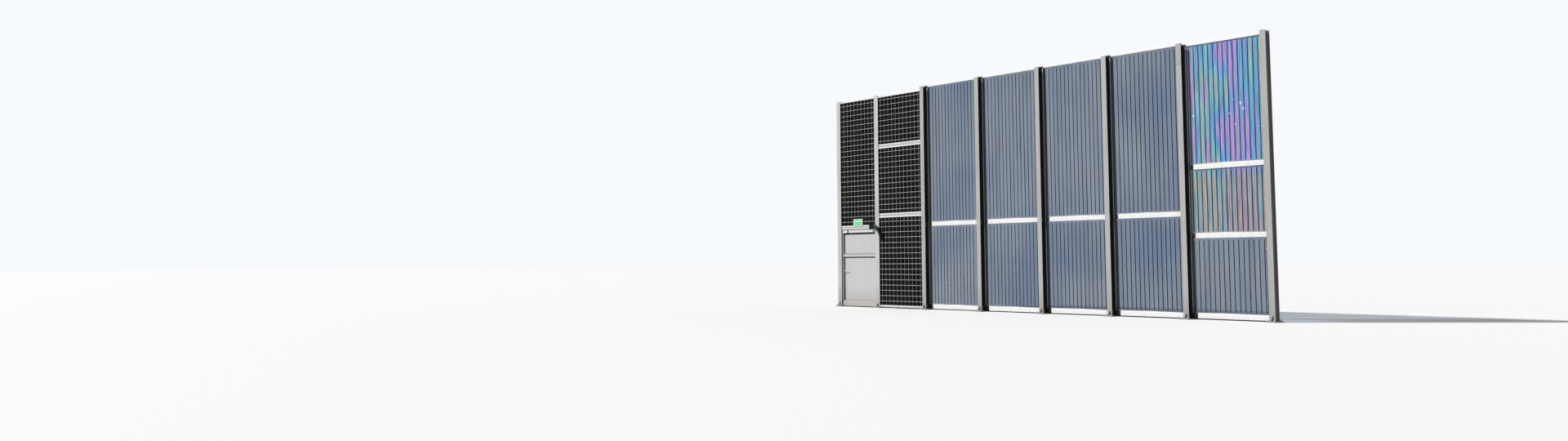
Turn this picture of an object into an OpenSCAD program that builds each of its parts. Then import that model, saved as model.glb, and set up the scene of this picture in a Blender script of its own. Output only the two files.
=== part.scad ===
/* [Bays] */
// Height of the wall, to the top of the green panels
panel_top_z = 6090; // [5500:10:7000]
// Width of the door bay, between post centres
door_bay_w = 1620; // [1400:10:2000]
// Width of the green panel bay, between post centres
green_bay_w = 1830; // [1200:10:2400]
// Width of each clear bay, between post centres
clear_bay_w = 2000; // [1200:10:2600]
// Width of the rainbow film bay, between post centres
film_bay_w = 2000; // [1200:10:2600]

/* [Posts] */
// Depth of every post, from front face to rear face
post_depth = 180; // [170:1:220]
// Flange width of the two posts beside the door
wide_flange_w = 160; // [150:1:220]
// Flange width of the other posts
slim_flange_w = 130; // [110:1:150]
// Thickness of the flanges
flange_t = 12; // [8:0.5:14]
// Thickness of the webs
web_t = 8; // [6:0.5:12]
// Radius where web and flange meet
root_r = 12; // [6:0.5:16]
// How far the top caps of the clear bays stand over the posts beside them
cap_over_post = 30; // [0:1:40]
// How far the two posts beside the door stand over the green panels
door_post_rise = 5; // [1:1:300]

/* [Feet] */
// Thickness of the foot plates
foot_t = 25; // [15:1:40]
// Depth of the foot plates, across the wall
foot_depth = 360; // [340:1:480]
// How far a foot plate reaches past the flange at each side
foot_overhang = 40; // [35:1:60]
// Radius of the holes for the anchor bolts
foot_hole_r = 13; // [8:0.5:14]
// Distance of each anchor hole from the plate's edges
foot_hole_inset = 40; // [30:1:45]
// Height of the triangular ribs on the foot
rib_h = 120; // [80:1:200]
// Thickness of the ribs
rib_t = 10; // [6:1:16]
// Setback of the ribs from the plate's edge
rib_setback = 8; // [0:1:20]

/* [Green panels] */
// Gap between a panel and the inside of each flange
panel_gap = 2; // [0.5:0.5:4]
// Height of the panel frame's face at top and bottom
frame_face_h = 60; // [40:1:90]
// Width of the panel frame's face at the sides
frame_side_w = 50; // [40:1:80]
// Metal thickness of the panel frame
frame_t = 3; // [2:0.5:5]
// Height of the sunk band along the top and bottom of the frame's face
sunk_band_h = 25; // [10:1:35]
// Depth of the sunk band
sunk_band_d = 4; // [2:0.5:6]
// Height where the low panel meets the middle one
low_joint_z = 2625; // [2000:5:2800]
// Height where the middle panel meets the top one
high_joint_z = 4610; // [4200:10:4900]
// Height of the underside of the panel over the door
door_panel_z = 2312; // [2300:1:2500]
// Spacing of the grille wires
wire_pitch = 150; // [100:1:250]
// Thickness of the level grille wires
level_wire_t = 8; // [4:0.5:10]
// Thickness of the upright grille wires
upright_wire_t = 5; // [4:0.5:8]
// How far the wires bite into each other at a weld
weld_bite = 1; // [0.5:0.1:2]
// How far the wires run in behind the frame's face
wire_tail = 25; // [10:1:35]

/* [Clear sheets] */
// Thickness of the clear sheets
sheet_t = 20; // [12:1:25]
// Thickness of the rubber on each face of a sheet
gasket_t = 6; // [4:0.5:8]
// How far the rubber shows past the flange
gasket_lip = 40; // [4:1:60]
// Height of the level rails
rail_h = 110; // [80:1:140]
// Thickness of a rail's wall in front of the rubber line
rail_wall = 12; // [8:1:16]
// Depth of the grooves that hold the sheets
groove_d = 30; // [15:1:36]
// Gap between a sheet and each wall of a groove
groove_gap = 1; // [0.5:0.5:3]
// Room left over the top edge of each sheet
sheet_rise = 5; // [2:1:10]
// Thickness of the bright cover on each rail
cover_t = 8; // [5:1:10]
// Chamfer along the cover's edges
cover_chamfer = 5; // [1:0.5:5]
// Distance from the flange to the left end of each rail's cover
cover_left_gap = 155; // [20:5:200]
// Distance from the right end of each rail's cover to the flange
cover_right_gap = 60; // [20:5:200]
// Height of the top cap
cap_h = 60; // [40:1:90]
// Distance from each end of a cap's cover to the flange
cap_cover_gap = 60; // [20:5:200]
// How far the top caps of the clear bays stand over the green panels
cap_rise = 95; // [0:5:300]
// How much lower the film bay's cap lies
film_cap_drop = 45; // [0:5:100]
// Height of the middle rail in the clear bays
clear_rail_z = 2330; // [1800:10:3200]
// Height of the lower rail in the film bay
film_low_rail_z = 1835; // [1200:5:2400]
// Height of the upper rail in the film bay
film_high_rail_z = 3355; // [2800:5:4200]
// Leg of the steel angles that clamp the sheets
clamp_leg = 50; // [30:1:54]
// Thickness of the steel angles
clamp_t = 5; // [3:0.5:8]
// Gap between each angle's end and the rail
clamp_end_gap = 4; // [1:0.5:10]

/* [Strips] */
// Width of the black strips on the sheets
strip_w = 20; // [8:1:30]
// Thickness of the strips
strip_t = 0.8; // [0.4:0.1:1.5]
// Spacing of the strips
strip_pitch = 117; // [80:1:160]
// Distance of the first strip from the post's centre
strip_first = 170; // [140:1:190]
// Distance of the strip ends from the rails
strip_end_gap = 45; // [10:1:80]

/* [Door] */
// Setback of the leaf's border from the posts' front face
leaf_setback = 40; // [36:1:48]
// Height of the transom over the leaf
transom_h = 55; // [40:1:55]
// Thickness of the leaf
leaf_t = 80; // [60:1:84]
// Width of the leaf's uprights
stile_w = 46; // [35:1:80]
// Height of the leaf's top rail
top_rail_h = 75; // [50:1:110]
// Height of the leaf's bottom rail
bottom_rail_h = 120; // [80:1:200]
// Height of the centre of the leaf's middle rail
mid_rail_z = 1510; // [1200:5:1700]
// Height of the leaf's middle rail
mid_rail_h = 92; // [60:1:140]
// Setback of the middle rail from the leaf's border
mid_rail_setback = 10; // [4:1:20]
// Depth of the sunk fields behind the leaf's border
field_d = 40; // [25:1:50]
// Gap round the leaf's edges
leaf_gap = 8; // [6:0.5:10]
// Gap between the leaf and its stop
stop_gap = 5; // [5:0.5:8]
// How far the stop laps over the leaf's edge
stop_lap = 6; // [3:1:12]
// Thickness of the stop
stop_t = 6; // [3:0.5:8]
// Gap between the door frame and the flange's edge
flange_gap = 2; // [1:0.5:4]
// Height of the sill over the foot plates
sill_h = 37; // [37:1:60]
// Thickness of the rubber under the transom
head_seal_t = 9; // [4:0.5:14]

/* [Hinges] */
// Radius of the hinge knuckles
knuckle_r = 10; // [9:0.5:12]
// Length of each knuckle
knuckle_h = 60; // [40:1:80]
// Radius of the hinge pins
pin_r = 6; // [4:0.5:6.5]
// Gap between pin and knuckle
pin_gap = 0.3; // [0.1:0.1:0.5]
// Thickness of the washer between the knuckles
washer_t = 3; // [2:0.5:4]
// Setback of the washer's rim from the knuckle's face
washer_setback = 1; // [0.5:0.5:2]
// Gap over the washer
washer_gap = 0.3; // [0.1:0.1:0.5]
// Depth of the pin's top in its knuckle
pin_recess = 3; // [1:0.5:10]
// Thickness of the hinge plates
hinge_plate_t = 6; // [4:0.5:8]
// Width of the hinge plate on the leaf
leaf_plate_w = 60; // [40:1:90]
// Width of the hinge plate on the frame
frame_plate_w = 50; // [30:1:60]
// Gap between a knuckle and the face behind it
knuckle_gap = 5; // [5:0.5:7]
// Height of the lowest hinge
hinge_low_z = 300; // [150:5:500]
// Height of the highest hinge
hinge_high_z = 1900; // [1500:5:1960]

/* [Handles] */
// Height of the levers
lever_z = 1050; // [950:5:1150]
// Distance of the levers' plate from the leaf's upright
lever_inset = 12; // [4:1:60]
// Width of the lock plates
lock_plate_w = 44; // [32:1:50]
// Length of the lock plates
lock_plate_h = 220; // [160:1:260]
// Thickness of the lock plates
lock_plate_t = 8; // [4:0.5:10]
// Radius of the lever bar
lever_r = 9; // [7:0.5:11]
// Reach of the lever from the lock plate
lever_reach = 40; // [32:1:60]
// Length of the lever
lever_len = 130; // [90:1:150]
// Wall of the collar round the lever's neck
collar_wall = 4; // [2:0.5:8]
// Height of the collar over the lock plate
collar_h = 6; // [2:0.5:15]
// Drop from the lever to the keyhole
keyhole_drop = 72; // [50:1:80]
// Height of the keyhole's ring over the lock plate
keyhole_h = 4; // [2:0.5:10]

/* [Exit sign] */
// Width of the sign
sign_w = 390; // [300:1:500]
// Height of the sign
sign_h = 220; // [160:1:260]
// Thickness of the sign
sign_t = 3; // [2:0.5:5]
// Overlap of the sign on the frame below it
sign_lap = 32; // [15:1:50]
// Distance of the sign from the frame
sign_standoff = 4; // [2:0.5:8]
// Width of each spacer behind the sign
spacer_w = 24; // [12:1:40]
// Setback of the spacers from the frame's edge
spacer_setback = 2; // [1:0.5:8]

/* [Seals] */
// Thickness of the seals along the ground
seal_w = 30; // [15:1:40]

/* [Hidden] */
$fn = 48;

// How far a cut runs past the face where it starts, and how far welded pieces run into each other
cut = 1;
weld_lap = 1;

// Bays from left to right, with X = 0 at the post before the first clear one
BAYS = ["door", "green", "clear", "clear", "clear", "clear", "film"];
function bays_of(kind) = [for (i = [0 : len(BAYS) - 1]) if (BAYS[i] == kind) i];
DOOR = bays_of("door")[0];
GREEN = bays_of("green")[0];
CLEAR = bays_of("clear");
FILM = bays_of("film")[0];
function width_of(kind) =
  kind == "door" ? door_bay_w : kind == "green" ? green_bay_w : kind == "film" ? film_bay_w : clear_bay_w;
bay_w = [for (kind = BAYS) width_of(kind)];
function run_to(i) = i <= 0 ? 0 : run_to(i - 1) + bay_w[i - 1];
function post_x(i) = run_to(i) - run_to(CLEAR[0]);

// Posts, counted from 0, of which the first two stand beside the door
function beside_door(i) = i <= DOOR + 1;
function flange_w(i) = beside_door(i) ? wide_flange_w : slim_flange_w;
function foot_w(i) = flange_w(i) + 2 * foot_overhang;
function post_h(i) = panel_top_z + (beside_door(i) ? door_post_rise : cap_rise - cap_over_post);

// Planes across the wall, with Y = 0 in the middle of the posts
inner_y = post_depth / 2 - flange_t;
edge_x = web_t / 2 + root_r;
panel_y = inner_y - panel_gap;
sheet_back_y = inner_y - gasket_t;
sheet_front_y = sheet_back_y - sheet_t;
gasket_front_y = sheet_front_y - gasket_t;
rail_front_y = gasket_front_y - rail_wall;
cover_front_y = rail_front_y - cover_t;
face_y = panel_y - sunk_band_d - frame_t;
leaf_front_y = -post_depth / 2 + leaf_setback;
leaf_back_y = leaf_front_y + leaf_t;
stop_y = leaf_front_y - stop_gap;
field_y = leaf_front_y + field_d;

// Grille
mesh_depth = level_wire_t + upright_wire_t - weld_bite;

// Door, measured in its own bay
jamb_x = wide_flange_w / 2 - flange_gap;
leaf_x = jamb_x + leaf_gap + flange_gap;
field_x = leaf_x + stile_w;
transom_z = door_panel_z - transom_h;
leaf_top_z = transom_z - head_seal_t - leaf_gap;
sill_top_z = foot_t + sill_h;
leaf_z = sill_top_z + leaf_gap;
hinge_x = door_bay_w - leaf_x + (leaf_gap + flange_gap) / 2;
hinge_y = leaf_back_y + knuckle_r + knuckle_gap;
hinge_z = [hinge_low_z, (hinge_low_z + hinge_high_z) / 2, hinge_high_z];
moving_knuckle_z = knuckle_h + washer_t + washer_gap;

// A box from one corner to the opposite one
module block(a, b) {
  translate(a) cube(b - a);
}

// A shape that repeats from the left half of a bay to its right half
module both_ends(w) {
  children();
  translate([w, 0, 0]) mirror([1, 0, 0]) children();
}

// Rolled section with round roots, standing on its end
module h_section(w) {
  difference() {
    square([w, post_depth], center = true);
    for (s = [0, 1]) mirror([s, 0]) {
      translate([web_t / 2 + root_r, -inner_y]) square([w, 2 * inner_y]);
      translate([web_t / 2, root_r - inner_y]) square([w, 2 * (inner_y - root_r)]);
      for (t = [-1, 1]) translate([web_t / 2 + root_r, t * (inner_y - root_r)]) circle(r = root_r);
    }
  }
}

// Triangular rib between a flange and the foot plate
module foot_rib() {
  run_out = foot_depth / 2 - rib_setback;
  heel = post_depth / 2 - flange_t / 2;
  translate([-rib_t / 2, 0, 0]) rotate([90, 0, 90]) linear_extrude(rib_t)
    polygon([
      [heel, foot_t / 2], [run_out, foot_t / 2], [run_out, foot_t + rib_t],
      [post_depth / 2 + rib_t, foot_t + rib_h], [heel, foot_t + rib_h]
    ]);
}

// One post with the foot plate welded under it
module post(i) {
  hole_x = foot_w(i) / 2 - foot_hole_inset;
  hole_y = foot_depth / 2 - foot_hole_inset;
  color(beside_door(i) ? "gainsboro" : "silver") translate([post_x(i), 0, 0]) difference() {
    union() {
      linear_extrude(post_h(i)) h_section(flange_w(i));
      block([-foot_w(i) / 2, -foot_depth / 2, 0], [foot_w(i) / 2, foot_depth / 2, foot_t]);
      foot_rib();
      mirror([0, 1, 0]) foot_rib();
    }
    for (x = [-hole_x, hole_x], y = [-hole_y, hole_y])
      translate([x, y, -cut]) cylinder(r = foot_hole_r, h = foot_t + 2 * cut);
  }
}

// Ring of folded channel, open towards the middle of the panel
module panel_frame(i, z0, z1) {
  w = bay_w[i] - edge_x;
  band_y = panel_y - sunk_band_d;
  color("gainsboro") translate([post_x(i), 0, 0]) difference() {
    union() {
      block([edge_x, -band_y, z0], [w, band_y, z1]);
      block([edge_x, -panel_y, z0 + sunk_band_h], [w, panel_y, z1 - sunk_band_h]);
    }
    block([edge_x + frame_t, -face_y, z0 + frame_t], [w - frame_t, face_y, z1 - frame_t]);
    block(
      [edge_x + frame_side_w, -panel_y - cut, z0 + frame_face_h],
      [w - frame_side_w, panel_y + cut, z1 - frame_face_h]
    );
  }
}

// Absorbing board that fills the frame between the two grilles
module panel_infill(i, z0, z1) {
  w = bay_w[i] - edge_x - frame_t;
  y = face_y - mesh_depth;
  color("darkslategray") translate([post_x(i), 0, 0])
    block([edge_x + frame_t, -y, z0 + frame_t], [w, y, z1 - frame_t]);
}

// Positions of wires centred in an opening
function wires(a, b) =
  let(n = floor((b - a) / wire_pitch), first = (a + b - (n - 1) * wire_pitch) / 2)
  [for (k = [0 : n - 1]) first + k * wire_pitch];

// Welded grille against the inside of the front faces, its level wires in front
module panel_mesh(i, z0, z1) {
  x0 = edge_x + frame_side_w;
  x1 = bay_w[i] - x0;
  low = z0 + frame_face_h;
  high = z1 - frame_face_h;
  y0 = -face_y;
  y1 = y0 + level_wire_t - weld_bite;
  color("darkgray") translate([post_x(i), 0, 0]) {
    for (z = wires(low, high)) block(
      [x0 - wire_tail, y0, z - level_wire_t / 2],
      [x1 + wire_tail, y0 + level_wire_t, z + level_wire_t / 2]
    );
    for (x = wires(x0, x1)) block(
      [x - upright_wire_t / 2, y1, low - wire_tail],
      [x + upright_wire_t / 2, y1 + upright_wire_t, high + wire_tail]
    );
  }
}

module green_meshes() {
  panel_mesh(GREEN, foot_t, low_joint_z);
  panel_mesh(GREEN, low_joint_z, high_joint_z);
  panel_mesh(GREEN, high_joint_z, panel_top_z);
}

module green_infills() {
  panel_infill(GREEN, foot_t, low_joint_z);
  panel_infill(GREEN, low_joint_z, high_joint_z);
  panel_infill(GREEN, high_joint_z, panel_top_z);
}

// Clear bay: rails, sheets, rubber, clamps and strips
function rail_low(z) = z - rail_h / 2;
function rail_high(z) = z + rail_h / 2;
function cap_high(i) = panel_top_z + cap_rise - (i == FILM ? film_cap_drop : 0);
function cap_low(i) = cap_high(i) - cap_h;
bottom_rail_z = foot_t + rail_h / 2;
clear_rails = [bottom_rail_z, clear_rail_z];
film_rails_z = [bottom_rail_z, film_low_rail_z, film_high_rail_z];
function opening_top(i, rails, k) = k + 1 < len(rails) ? rail_low(rails[k + 1]) : cap_low(i);

// Groove that takes the edge of a sheet
module groove(w, z0, z1) {
  block([0, sheet_front_y - groove_gap, z0], [w, sheet_back_y + groove_gap, z1]);
}

// Bright cover in front of a rail or cap, short of the posts
module rail_cover(i, z0, z1, left_gap, right_gap) {
  x0 = flange_w(i) / 2 + left_gap;
  x1 = bay_w[i] - flange_w(i + 1) / 2 - right_gap;
  translate([x0, 0, 0]) rotate([90, 0, 90]) linear_extrude(x1 - x0)
    polygon([
      [rail_front_y + weld_lap, z0], [rail_front_y + weld_lap, z1],
      [cover_front_y + cover_chamfer, z1], [cover_front_y, z1 - cover_chamfer],
      [cover_front_y, z0 + cover_chamfer], [cover_front_y + cover_chamfer, z0]
    ]);
}

// Rail at a height, grooved above and, off the ground, below
module rail(i, z) {
  w = bay_w[i];
  difference() {
    union() {
      block([edge_x, rail_front_y, rail_low(z)], [w - edge_x, inner_y, rail_high(z)]);
      rail_cover(i, rail_low(z), rail_high(z), cover_left_gap, cover_right_gap);
    }
    groove(w, rail_high(z) - groove_d, rail_high(z) + cut);
    if (z > bottom_rail_z) groove(w, rail_low(z) - cut, rail_low(z) + groove_d);
  }
}

module top_cap(i) {
  w = bay_w[i];
  difference() {
    union() {
      block([edge_x, rail_front_y, cap_low(i)], [w - edge_x, inner_y, cap_high(i)]);
      rail_cover(i, cap_low(i), cap_high(i), cap_cover_gap, cap_cover_gap);
    }
    groove(w, cap_low(i) - cut, cap_low(i) + groove_d);
  }
}

// Steel angle on the post's web that presses the rubber back
module clamp(z0, z1) {
  block([web_t / 2, gasket_front_y - clamp_leg, z0], [web_t / 2 + clamp_t, gasket_front_y, z1]);
  block([web_t / 2, gasket_front_y - clamp_t, z0], [web_t / 2 + clamp_leg, gasket_front_y, z1]);
}

module bay_rails(i, rails) {
  color("whitesmoke") translate([post_x(i), 0, 0]) {
    for (z = rails) rail(i, z);
    top_cap(i);
    for (k = [0 : len(rails) - 1])
      both_ends(bay_w[i])
        clamp(rail_high(rails[k]) + clamp_end_gap, opening_top(i, rails, k) - clamp_end_gap);
  }
}

// Channel of rubber round the upright edge of a sheet
module gasket(lip_x, z0, z1) {
  difference() {
    block([edge_x, gasket_front_y, z0], [lip_x, inner_y, z1]);
    block([edge_x + gasket_t, sheet_front_y, z0 - cut], [lip_x + cut, sheet_back_y, z1 + cut]);
  }
}

module bay_gaskets(i, rails) {
  color("black") translate([post_x(i), 0, 0]) for (k = [0 : len(rails) - 1]) {
    z0 = rail_high(rails[k]);
    z1 = opening_top(i, rails, k);
    gasket(flange_w(i) / 2 + gasket_lip, z0, z1);
    translate([bay_w[i], 0, 0]) mirror([1, 0, 0])
      gasket(flange_w(i + 1) / 2 + gasket_lip, z0, z1);
  }
}

// One sheet from the groove below it up into the groove above it
module sheet(i, rails, k) {
  z0 = rail_high(rails[k]) - groove_d;
  z1 = opening_top(i, rails, k) + groove_d - sheet_rise;
  x0 = edge_x + gasket_t;
  translate([post_x(i), 0, 0])
    block([x0, sheet_front_y, z0], [bay_w[i] - x0, sheet_back_y, z1]);
}

module bay_sheets(i, rails) {
  color("lightsteelblue", 0.45) for (k = [0 : len(rails) - 1]) sheet(i, rails, k);
}

module bay_strips(i, rails) {
  n = floor((bay_w[i] - 2 * strip_first) / strip_pitch) + 1;
  color("black") translate([post_x(i), 0, 0])
    for (k = [0 : len(rails) - 1], s = [0 : n - 1]) {
      x = strip_first + s * strip_pitch;
      block(
        [x - strip_w / 2, sheet_front_y - strip_t, rail_high(rails[k]) + strip_end_gap],
        [x + strip_w / 2, sheet_front_y, opening_top(i, rails, k) - strip_end_gap]
      );
    }
}

// Upright of the door frame in the post's channel, with the stop in front of the leaf
module jamb() {
  translate([0, 0, foot_t]) linear_extrude(door_panel_z - foot_t) polygon([
    [web_t / 2, stop_y - stop_t], [leaf_x + stop_lap, stop_y - stop_t],
    [leaf_x + stop_lap, stop_y], [jamb_x, stop_y], [jamb_x, leaf_back_y], [web_t / 2, leaf_back_y]
  ]);
}

// Two uprights, the sill and the transom that carries the panel over the door
module door_frame() {
  w = door_bay_w;
  x0 = jamb_x - weld_lap;
  color("lightgray") translate([post_x(DOOR), 0, 0]) {
    both_ends(w) jamb();
    block([x0, stop_y - stop_t, foot_t], [w - x0, leaf_back_y, sill_top_z]);
    block([x0, sunk_band_d - panel_y, transom_z], [w - x0, leaf_back_y, door_panel_z]);
  }
}

// Rubber strip under the transom, over the leaf's top edge
module head_seal() {
  w = door_bay_w;
  color("black") translate([post_x(DOOR), 0, 0])
    block([jamb_x, leaf_front_y, transom_z - head_seal_t], [w - jamb_x, leaf_back_y, transom_z]);
}

// Sunk field in the front of the leaf
module leaf_field(y, z0, z1) {
  block([field_x, leaf_front_y - cut, z0], [door_bay_w - field_x, y, z1]);
}

module door_leaf() {
  low = leaf_z + bottom_rail_h;
  high = leaf_top_z - top_rail_h;
  color("lightgray") translate([post_x(DOOR), 0, 0]) difference() {
    block([leaf_x, leaf_front_y, leaf_z], [door_bay_w - leaf_x, leaf_back_y, leaf_top_z]);
    leaf_field(leaf_front_y + mid_rail_setback, low, high);
    leaf_field(field_y, low, mid_rail_z - mid_rail_h / 2);
    leaf_field(field_y, mid_rail_z + mid_rail_h / 2, high);
  }
}

// Lower half of a hinge, with the pin
module frame_hinge() {
  web_x = hinge_x + leaf_gap / 2 + flange_gap;
  translate([hinge_x, hinge_y, 0]) {
    cylinder(r = knuckle_r, h = knuckle_h);
    cylinder(r = knuckle_r - washer_setback, h = knuckle_h + washer_t);
    cylinder(r = pin_r, h = moving_knuckle_z + knuckle_h - pin_recess);
  }
  block([web_x, leaf_back_y, 0], [web_x + frame_plate_w, leaf_back_y + hinge_plate_t, knuckle_h]);
  block([web_x, leaf_back_y, 0], [hinge_x + knuckle_r, hinge_y, knuckle_h]);
}

// Upper half of a hinge, which lifts off the pin
module leaf_hinge() {
  web_x = hinge_x - leaf_gap / 2 - flange_gap;
  translate([0, 0, moving_knuckle_z]) difference() {
    union() {
      translate([hinge_x, hinge_y, 0]) cylinder(r = knuckle_r, h = knuckle_h);
      block([web_x - leaf_plate_w, leaf_back_y, 0], [web_x, leaf_back_y + hinge_plate_t, knuckle_h]);
      block([hinge_x - knuckle_r, leaf_back_y, 0], [web_x, hinge_y, knuckle_h]);
    }
    translate([hinge_x, hinge_y, -cut]) cylinder(r = pin_r + pin_gap, h = knuckle_h + 2 * cut);
  }
}

module frame_hinges() {
  color("dimgray") translate([post_x(DOOR), 0, 0])
    for (z = hinge_z) translate([0, 0, z]) frame_hinge();
}

module leaf_hinges() {
  color("gray") translate([post_x(DOOR), 0, 0])
    for (z = hinge_z) translate([0, 0, z]) leaf_hinge();
}

// Round-ended lock plate with its lever, standing out towards -Y
module lever_set() {
  ends = lock_plate_h / 2 - lock_plate_w / 2;
  neck = lock_plate_t + lever_reach;
  rotate([90, 0, 0]) {
    for (z = [-ends, ends]) translate([0, z - keyhole_drop / 2, 0])
      cylinder(r = lock_plate_w / 2, h = lock_plate_t);
    translate([-lock_plate_w / 2, -ends - keyhole_drop / 2, 0])
      cube([lock_plate_w, 2 * ends, lock_plate_t]);
    cylinder(r = lever_r + collar_wall, h = lock_plate_t + collar_h);
    cylinder(r = lever_r, h = neck);
    translate([0, -keyhole_drop, 0]) cylinder(r = lever_r, h = lock_plate_t + keyhole_h);
  }
  translate([0, -neck, 0]) {
    sphere(r = lever_r);
    rotate([0, 90, 0]) cylinder(r = lever_r, h = lever_len);
    translate([lever_len, 0, 0]) sphere(r = lever_r);
  }
}

module door_handles() {
  x = field_x + lever_inset + lock_plate_w / 2;
  color("silver") translate([post_x(DOOR), 0, 0]) {
    translate([x, field_y, lever_z]) lever_set();
    translate([x, leaf_back_y, lever_z]) mirror([0, 1, 0]) lever_set();
  }
}

// Plate over the door on two spacers
module exit_sign() {
  x0 = (door_bay_w - sign_w) / 2;
  z0 = door_panel_z + frame_face_h - sign_lap;
  back_y = -panel_y - sign_standoff;
  color("mediumaquamarine") translate([post_x(DOOR), 0, 0]) {
    block([x0, back_y - sign_t, z0], [x0 + sign_w, back_y, z0 + sign_h]);
    both_ends(door_bay_w) block(
      [x0 + spacer_w, back_y - sign_t / 2, z0 + spacer_setback],
      [x0 + 2 * spacer_w, -panel_y, z0 + sign_lap - spacer_setback]
    );
  }
}

// Rubber between the ground and the lowest rail or frame, from foot to foot
module ground_seal(i, y) {
  x1 = bay_w[i] - foot_w(i + 1) / 2;
  translate([post_x(i), 0, 0])
    block([foot_w(i) / 2, y - seal_w / 2, 0], [x1, y + seal_w / 2, foot_t]);
}

// Rubber strips under the wall and over the door leaf
module seals() {
  head_seal();
  color("dimgray") {
    ground_seal(DOOR, 0);
    ground_seal(GREEN, 0);
    for (i = concat(CLEAR, FILM)) ground_seal(i, (rail_front_y + inner_y) / 2);
  }
}

post(0);  // post_1
post(1);  // post_2
post(2);  // post_3
post(3);  // post_4
post(4);  // post_5
post(5);  // post_6
post(6);  // post_7
post(7);  // post_8
panel_frame(DOOR, door_panel_z, panel_top_z);  // door_panel_frame
panel_infill(DOOR, door_panel_z, panel_top_z);  // door_panel_infill
panel_mesh(DOOR, door_panel_z, panel_top_z);  // door_panel_front_mesh
mirror([0, 1, 0]) panel_mesh(DOOR, door_panel_z, panel_top_z);  // door_panel_rear_mesh
door_frame();
frame_hinges();
door_leaf();
leaf_hinges();
door_handles();
exit_sign();
panel_frame(GREEN, foot_t, low_joint_z);  // green_frame_low
panel_frame(GREEN, low_joint_z, high_joint_z);  // green_frame_mid
panel_frame(GREEN, high_joint_z, panel_top_z);  // green_frame_top
green_infills();  // green_infill
green_meshes();  // green_front_mesh
mirror([0, 1, 0]) green_meshes();  // green_rear_mesh
bay_sheets(CLEAR[0], clear_rails);  // clear_1_sheets
bay_gaskets(CLEAR[0], clear_rails);  // clear_1_gaskets
bay_strips(CLEAR[0], clear_rails);  // clear_1_strips
bay_rails(CLEAR[0], clear_rails);  // clear_1_rails
bay_sheets(CLEAR[1], clear_rails);  // clear_2_sheets
bay_gaskets(CLEAR[1], clear_rails);  // clear_2_gaskets
bay_strips(CLEAR[1], clear_rails);  // clear_2_strips
bay_rails(CLEAR[1], clear_rails);  // clear_2_rails
bay_sheets(CLEAR[2], clear_rails);  // clear_3_sheets
bay_gaskets(CLEAR[2], clear_rails);  // clear_3_gaskets
bay_strips(CLEAR[2], clear_rails);  // clear_3_strips
bay_rails(CLEAR[2], clear_rails);  // clear_3_rails
bay_sheets(CLEAR[3], clear_rails);  // clear_4_sheets
bay_gaskets(CLEAR[3], clear_rails);  // clear_4_gaskets
bay_strips(CLEAR[3], clear_rails);  // clear_4_strips
bay_rails(CLEAR[3], clear_rails);  // clear_4_rails
color("lightblue", 0.5) sheet(FILM, film_rails_z, 0);  // film_sheet_low
color("skyblue", 0.6) sheet(FILM, film_rails_z, 1);  // film_sheet_mid
color("turquoise", 0.8) sheet(FILM, film_rails_z, 2);  // film_sheet_top
bay_gaskets(FILM, film_rails_z);  // film_gaskets
bay_strips(FILM, film_rails_z);  // film_strips
bay_rails(FILM, film_rails_z);  // film_rails
seals();
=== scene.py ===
"""Finishes and small fittings of a run of highway noise barrier, in the order in which it is built."""

import math

import bpy
import numpy as np
from mathutils import Matrix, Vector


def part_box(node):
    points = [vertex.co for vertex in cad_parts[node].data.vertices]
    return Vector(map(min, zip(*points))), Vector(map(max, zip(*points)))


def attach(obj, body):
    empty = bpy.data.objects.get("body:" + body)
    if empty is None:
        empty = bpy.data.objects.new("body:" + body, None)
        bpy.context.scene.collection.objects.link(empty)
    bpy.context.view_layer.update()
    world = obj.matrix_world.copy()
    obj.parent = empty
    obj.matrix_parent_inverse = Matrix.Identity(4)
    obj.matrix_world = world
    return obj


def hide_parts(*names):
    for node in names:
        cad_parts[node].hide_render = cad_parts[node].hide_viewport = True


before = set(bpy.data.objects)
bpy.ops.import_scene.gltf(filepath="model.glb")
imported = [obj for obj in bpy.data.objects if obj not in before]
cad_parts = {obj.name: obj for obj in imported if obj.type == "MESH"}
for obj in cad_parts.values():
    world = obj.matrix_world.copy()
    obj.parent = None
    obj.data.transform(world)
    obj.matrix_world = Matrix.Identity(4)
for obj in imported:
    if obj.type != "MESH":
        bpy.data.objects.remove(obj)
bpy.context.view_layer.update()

# H-posts
# Rolled steel H-sections, dipped in zinc and coated, each welded to a ribbed foot plate. They are set
# plumb first, and every other piece of the wall slides down into their channels.
POSTS = [f"post_{k}" for k in range(1, 9)]
DOOR_POSTS, CLEAR_POSTS = slice(0, 2), slice(2, 8)
post_box = [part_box(name) for name in POSTS]
post_x = np.array([(low.x + high.x) / 2 for low, high in post_box])
FOOT_OVERHANG = 0.040
flange_half = np.array([(high.x - low.x) / 2 - FOOT_OVERHANG for low, high in post_box])
FLANGE_FACE, CHANNEL_WALL = 0.090, 0.078
CLEAR_PAINT = (0.415, 0.415, 0.418)
DOOR_PAINT = (0.545, 0.54, 0.54)
RIM_HIGHLIGHT = (0.64, 0.635, 0.62)
SHADED_PAINT = (0.055, 0.055, 0.058)
DULL_COAT = (0.325, 0.322, 0.305)
FOOT_DUST = (0.24, 0.22, 0.19)
ROAD_GRIME = (0.15, 0.14, 0.12)
RIM = 0.004
# How far a mask reaches past a face, to take all of it in
HAIR = 0.0005


def node(tree, kind, inputs=(), **settings):
    """One shader node. Its inputs are values, or outputs of other nodes to link."""
    made = tree.nodes.new("ShaderNode" + kind)
    for key, value in settings.items():
        setattr(made, key, value)
    for key, value in dict(inputs).items():
        if isinstance(value, bpy.types.NodeSocket):
            tree.links.new(value, made.inputs[key])
        else:
            made.inputs[key].default_value = value
    return made


def calc(tree, operation, *values):
    """The output of a Math node on up to three values."""
    return node(tree, "Math", dict(enumerate(values)), operation=operation).outputs[0]


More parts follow.
